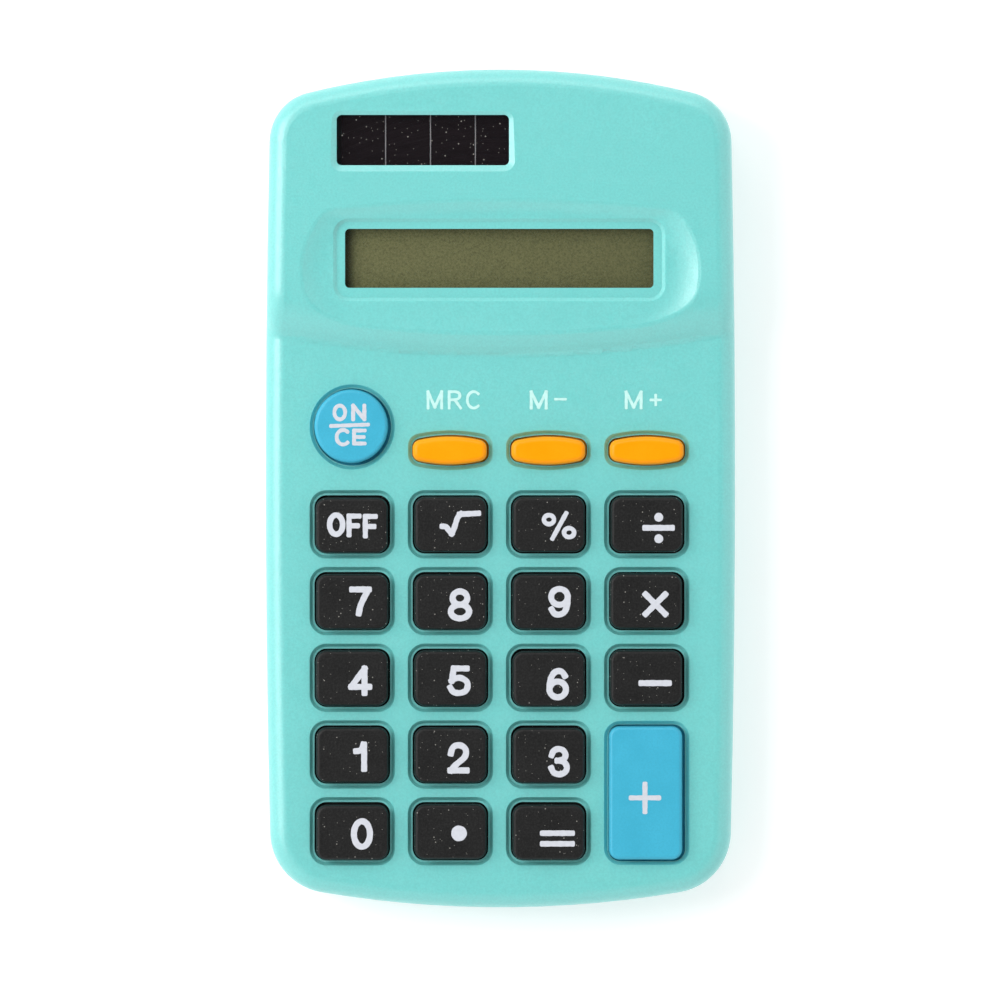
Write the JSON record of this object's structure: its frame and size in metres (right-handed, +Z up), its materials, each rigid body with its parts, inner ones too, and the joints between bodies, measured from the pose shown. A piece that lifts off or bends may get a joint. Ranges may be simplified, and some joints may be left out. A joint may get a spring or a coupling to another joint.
{
  "type": "desk calculator",
  "caption": "Small flat calculator with a raised display head, a solar strip, rubber dome keys and a sliding battery door.",
  "frame": {"origin": "middle of the footprint, on the plane that the feet stand on", "axes": "+Y towards the display end, +Z up out of the keys, +X to the right of the keypad"},
  "size_m": [0.065, 0.116, 0.0132],
  "materials": {
    "case_turquoise": "finely textured moulded ABS",
    "window_clear": "clear polished acrylic",
    "lcd_film": "olive polarising film",
    "lcd_glass": "thin display glass",
    "lcd_reflector": "grey reflective film",
    "silicone": "translucent grey silicone",
    "solar_glass": "polished glass",
    "solar_cell": "amorphous silicon, near black",
    "carbon": "carbon print",
    "board_green": "solder resist on fibre board",
    "epoxy": "black epoxy",
    "component": "ceramic",
    "cell_steel": "nickel plated",
    "contact_metal": "nickel plated spring brass",
    "lead_red": "PVC insulation",
    "lead_black": "PVC insulation",
    "foot_rubber": "soft rubber",
    "screw_steel": "zinc plated",
    "key_black": "satin moulded plastic with a fine grain",
    "key_blue": "satin moulded plastic",
    "key_orange": "satin moulded plastic"
  },
  "bodies": {
    "case": {"front_cover": "case_turquoise", "rear_cover": "case_turquoise", "display_window": "window_clear", "lcd_front_polarizer": "lcd_film", "lcd_front_glass": "lcd_glass", "lcd_rear_glass": "lcd_glass", "lcd_reflector": "lcd_reflector", "zebra_connector": "silicone", "solar_cell_glass": "solar_glass", "solar_cell_layer": "solar_cell", "keypad_mat": "silicone", "contact_pills": "carbon", "circuit_board": "board_green", "contact_pads": "carbon", "chip_glob": "epoxy", "capacitors": "component", "resistors": "epoxy", "battery_cell": "cell_steel", "battery_contact_positive": "contact_metal", "battery_contact_negative": "contact_metal", "battery_lead_red": "lead_red", "battery_lead_black": "lead_black", "solar_lead_red": "lead_red", "solar_lead_black": "lead_black", "rubber_feet": "foot_rubber", "case_screws": "screw_steel", "board_screws": "screw_steel"},
    "battery_door": {"battery_door": "case_turquoise"},
    "key_off": {"key_off": "key_black"},
    "key_root": {"key_root": "key_black"},
    "key_percent": {"key_percent": "key_black"},
    "key_divide": {"key_divide": "key_black"},
    "key_multiply": {"key_multiply": "key_black"},
    "key_minus": {"key_minus": "key_black"},
    "key_point": {"key_point": "key_black"},
    "key_equals": {"key_equals": "key_black"},
    "key_7": {"key_7": "key_black"},
    "key_8": {"key_8": "key_black"},
    "key_9": {"key_9": "key_black"},
    "key_4": {"key_4": "key_black"},
    "key_5": {"key_5": "key_black"},
    "key_6": {"key_6": "key_black"},
    "key_1": {"key_1": "key_black"},
    "key_2": {"key_2": "key_black"},
    "key_3": {"key_3": "key_black"},
    "key_0": {"key_0": "key_black"},
    "key_plus": {"key_plus": "key_blue"},
    "key_on_ce": {"key_on_ce": "key_blue"},
    "key_memory_recall": {"key_memory_recall": "key_orange"},
    "key_memory_minus": {"key_memory_minus": "key_orange"},
    "key_memory_plus": {"key_memory_plus": "key_orange"}
  },
  "joints": [
    {"name": "key_off_press", "type": "slide", "parent": "case", "child": "key_off", "axis": [0, 0, -1], "range_m": [0, 0.001], "stiffness_N_per_m": 300, "springref_m": -0.001, "deforming": ["keypad_mat", "contact_pills"]},
    {"name": "key_root_press", "type": "slide", "parent": "case", "child": "key_root", "axis": [0, 0, -1], "range_m": [0, 0.001], "stiffness_N_per_m": 300, "springref_m": -0.001, "deforming": ["keypad_mat", "contact_pills"]},
    {"name": "key_percent_press", "type": "slide", "parent": "case", "child": "key_percent", "axis": [0, 0, -1], "range_m": [0, 0.001], "stiffness_N_per_m": 300, "springref_m": -0.001, "deforming": ["keypad_mat", "contact_pills"]},
    {"name": "key_divide_press", "type": "slide", "parent": "case", "child": "key_divide", "axis": [0, 0, -1], "range_m": [0, 0.001], "stiffness_N_per_m": 300, "springref_m": -0.001, "deforming": ["keypad_mat", "contact_pills"]},
    {"name": "key_multiply_press", "type": "slide", "parent": "case", "child": "key_multiply", "axis": [0, 0, -1], "range_m": [0, 0.001], "stiffness_N_per_m": 300, "springref_m": -0.001, "deforming": ["keypad_mat", "contact_pills"]},
    {"name": "key_minus_press", "type": "slide", "parent": "case", "child": "key_minus", "axis": [0, 0, -1], "range_m": [0, 0.001], "stiffness_N_per_m": 300, "springref_m": -0.001, "deforming": ["keypad_mat", "contact_pills"]},
    {"name": "key_point_press", "type": "slide", "parent": "case", "child": "key_point", "axis": [0, 0, -1], "range_m": [0, 0.001], "stiffness_N_per_m": 300, "springref_m": -0.001, "deforming": ["keypad_mat", "contact_pills"]},
    {"name": "key_equals_press", "type": "slide", "parent": "case", "child": "key_equals", "axis": [0, 0, -1], "range_m": [0, 0.001], "stiffness_N_per_m": 300, "springref_m": -0.001, "deforming": ["keypad_mat", "contact_pills"]},
    {"name": "key_7_press", "type": "slide", "parent": "case", "child": "key_7", "axis": [0, 0, -1], "range_m": [0, 0.001], "stiffness_N_per_m": 300, "springref_m": -0.001, "deforming": ["keypad_mat", "contact_pills"]},
    {"name": "key_8_press", "type": "slide", "parent": "case", "child": "key_8", "axis": [0, 0, -1], "range_m": [0, 0.001], "stiffness_N_per_m": 300, "springref_m": -0.001, "deforming": ["keypad_mat", "contact_pills"]},
    {"name": "key_9_press", "type": "slide", "parent": "case", "child": "key_9", "axis": [0, 0, -1], "range_m": [0, 0.001], "stiffness_N_per_m": 300, "springref_m": -0.001, "deforming": ["keypad_mat", "contact_pills"]},
    {"name": "key_4_press", "type": "slide", "parent": "case", "child": "key_4", "axis": [0, 0, -1], "range_m": [0, 0.001], "stiffness_N_per_m": 300, "springref_m": -0.001, "deforming": ["keypad_mat", "contact_pills"]},
    {"name": "key_5_press", "type": "slide", "parent": "case", "child": "key_5", "axis": [0, 0, -1], "range_m": [0, 0.001], "stiffness_N_per_m": 300, "springref_m": -0.001, "deforming": ["keypad_mat", "contact_pills"]},
    {"name": "key_6_press", "type": "slide", "parent": "case", "child": "key_6", "axis": [0, 0, -1], "range_m": [0, 0.001], "stiffness_N_per_m": 300, "springref_m": -0.001, "deforming": ["keypad_mat", "contact_pills"]},
    {"name": "key_1_press", "type": "slide", "parent": "case", "child": "key_1", "axis": [0, 0, -1], "range_m": [0, 0.001], "stiffness_N_per_m": 300, "springref_m": -0.001, "deforming": ["keypad_mat", "contact_pills"]},
    {"name": "key_2_press", "type": "slide", "parent": "case", "child": "key_2", "axis": [0, 0, -1], "range_m": [0, 0.001], "stiffness_N_per_m": 300, "springref_m": -0.001, "deforming": ["keypad_mat", "contact_pills"]},
    {"name": "key_3_press", "type": "slide", "parent": "case", "child": "key_3", "axis": [0, 0, -1], "range_m": [0, 0.001], "stiffness_N_per_m": 300, "springref_m": -0.001, "deforming": ["keypad_mat", "contact_pills"]},
    {"name": "key_0_press", "type": "slide", "parent": "case", "child": "key_0", "axis": [0, 0, -1], "range_m": [0, 0.001], "stiffness_N_per_m": 300, "springref_m": -0.001, "deforming": ["keypad_mat", "contact_pills"]},
    {"name": "key_plus_press", "type": "slide", "parent": "case", "child": "key_plus", "axis": [0, 0, -1], "range_m": [0, 0.001], "stiffness_N_per_m": 300, "springref_m": -0.001, "deforming": ["keypad_mat", "contact_pills"]},
    {"name": "key_on_ce_press", "type": "slide", "parent": "case", "child": "key_on_ce", "axis": [0, 0, -1], "range_m": [0, 0.001], "stiffness_N_per_m": 300, "springref_m": -0.001, "deforming": ["keypad_mat", "contact_pills"]},
    {"name": "key_memory_recall_press", "type": "slide", "parent": "case", "child": "key_memory_recall", "axis": [0, 0, -1], "range_m": [0, 0.001], "stiffness_N_per_m": 300, "springref_m": -0.001, "deforming": ["keypad_mat", "contact_pills"]},
    {"name": "key_memory_minus_press", "type": "slide", "parent": "case", "child": "key_memory_minus", "axis": [0, 0, -1], "range_m": [0, 0.001], "stiffness_N_per_m": 300, "springref_m": -0.001, "deforming": ["keypad_mat", "contact_pills"]},
    {"name": "key_memory_plus_press", "type": "slide", "parent": "case", "child": "key_memory_plus", "axis": [0, 0, -1], "range_m": [0, 0.001], "stiffness_N_per_m": 300, "springref_m": -0.001, "deforming": ["keypad_mat", "contact_pills"]},
    {"name": "battery_door_slide", "type": "slide", "parent": "case", "child": "battery_door", "axis": [0, 1, 0], "range_m": [0, 0.022]}
  ]
}
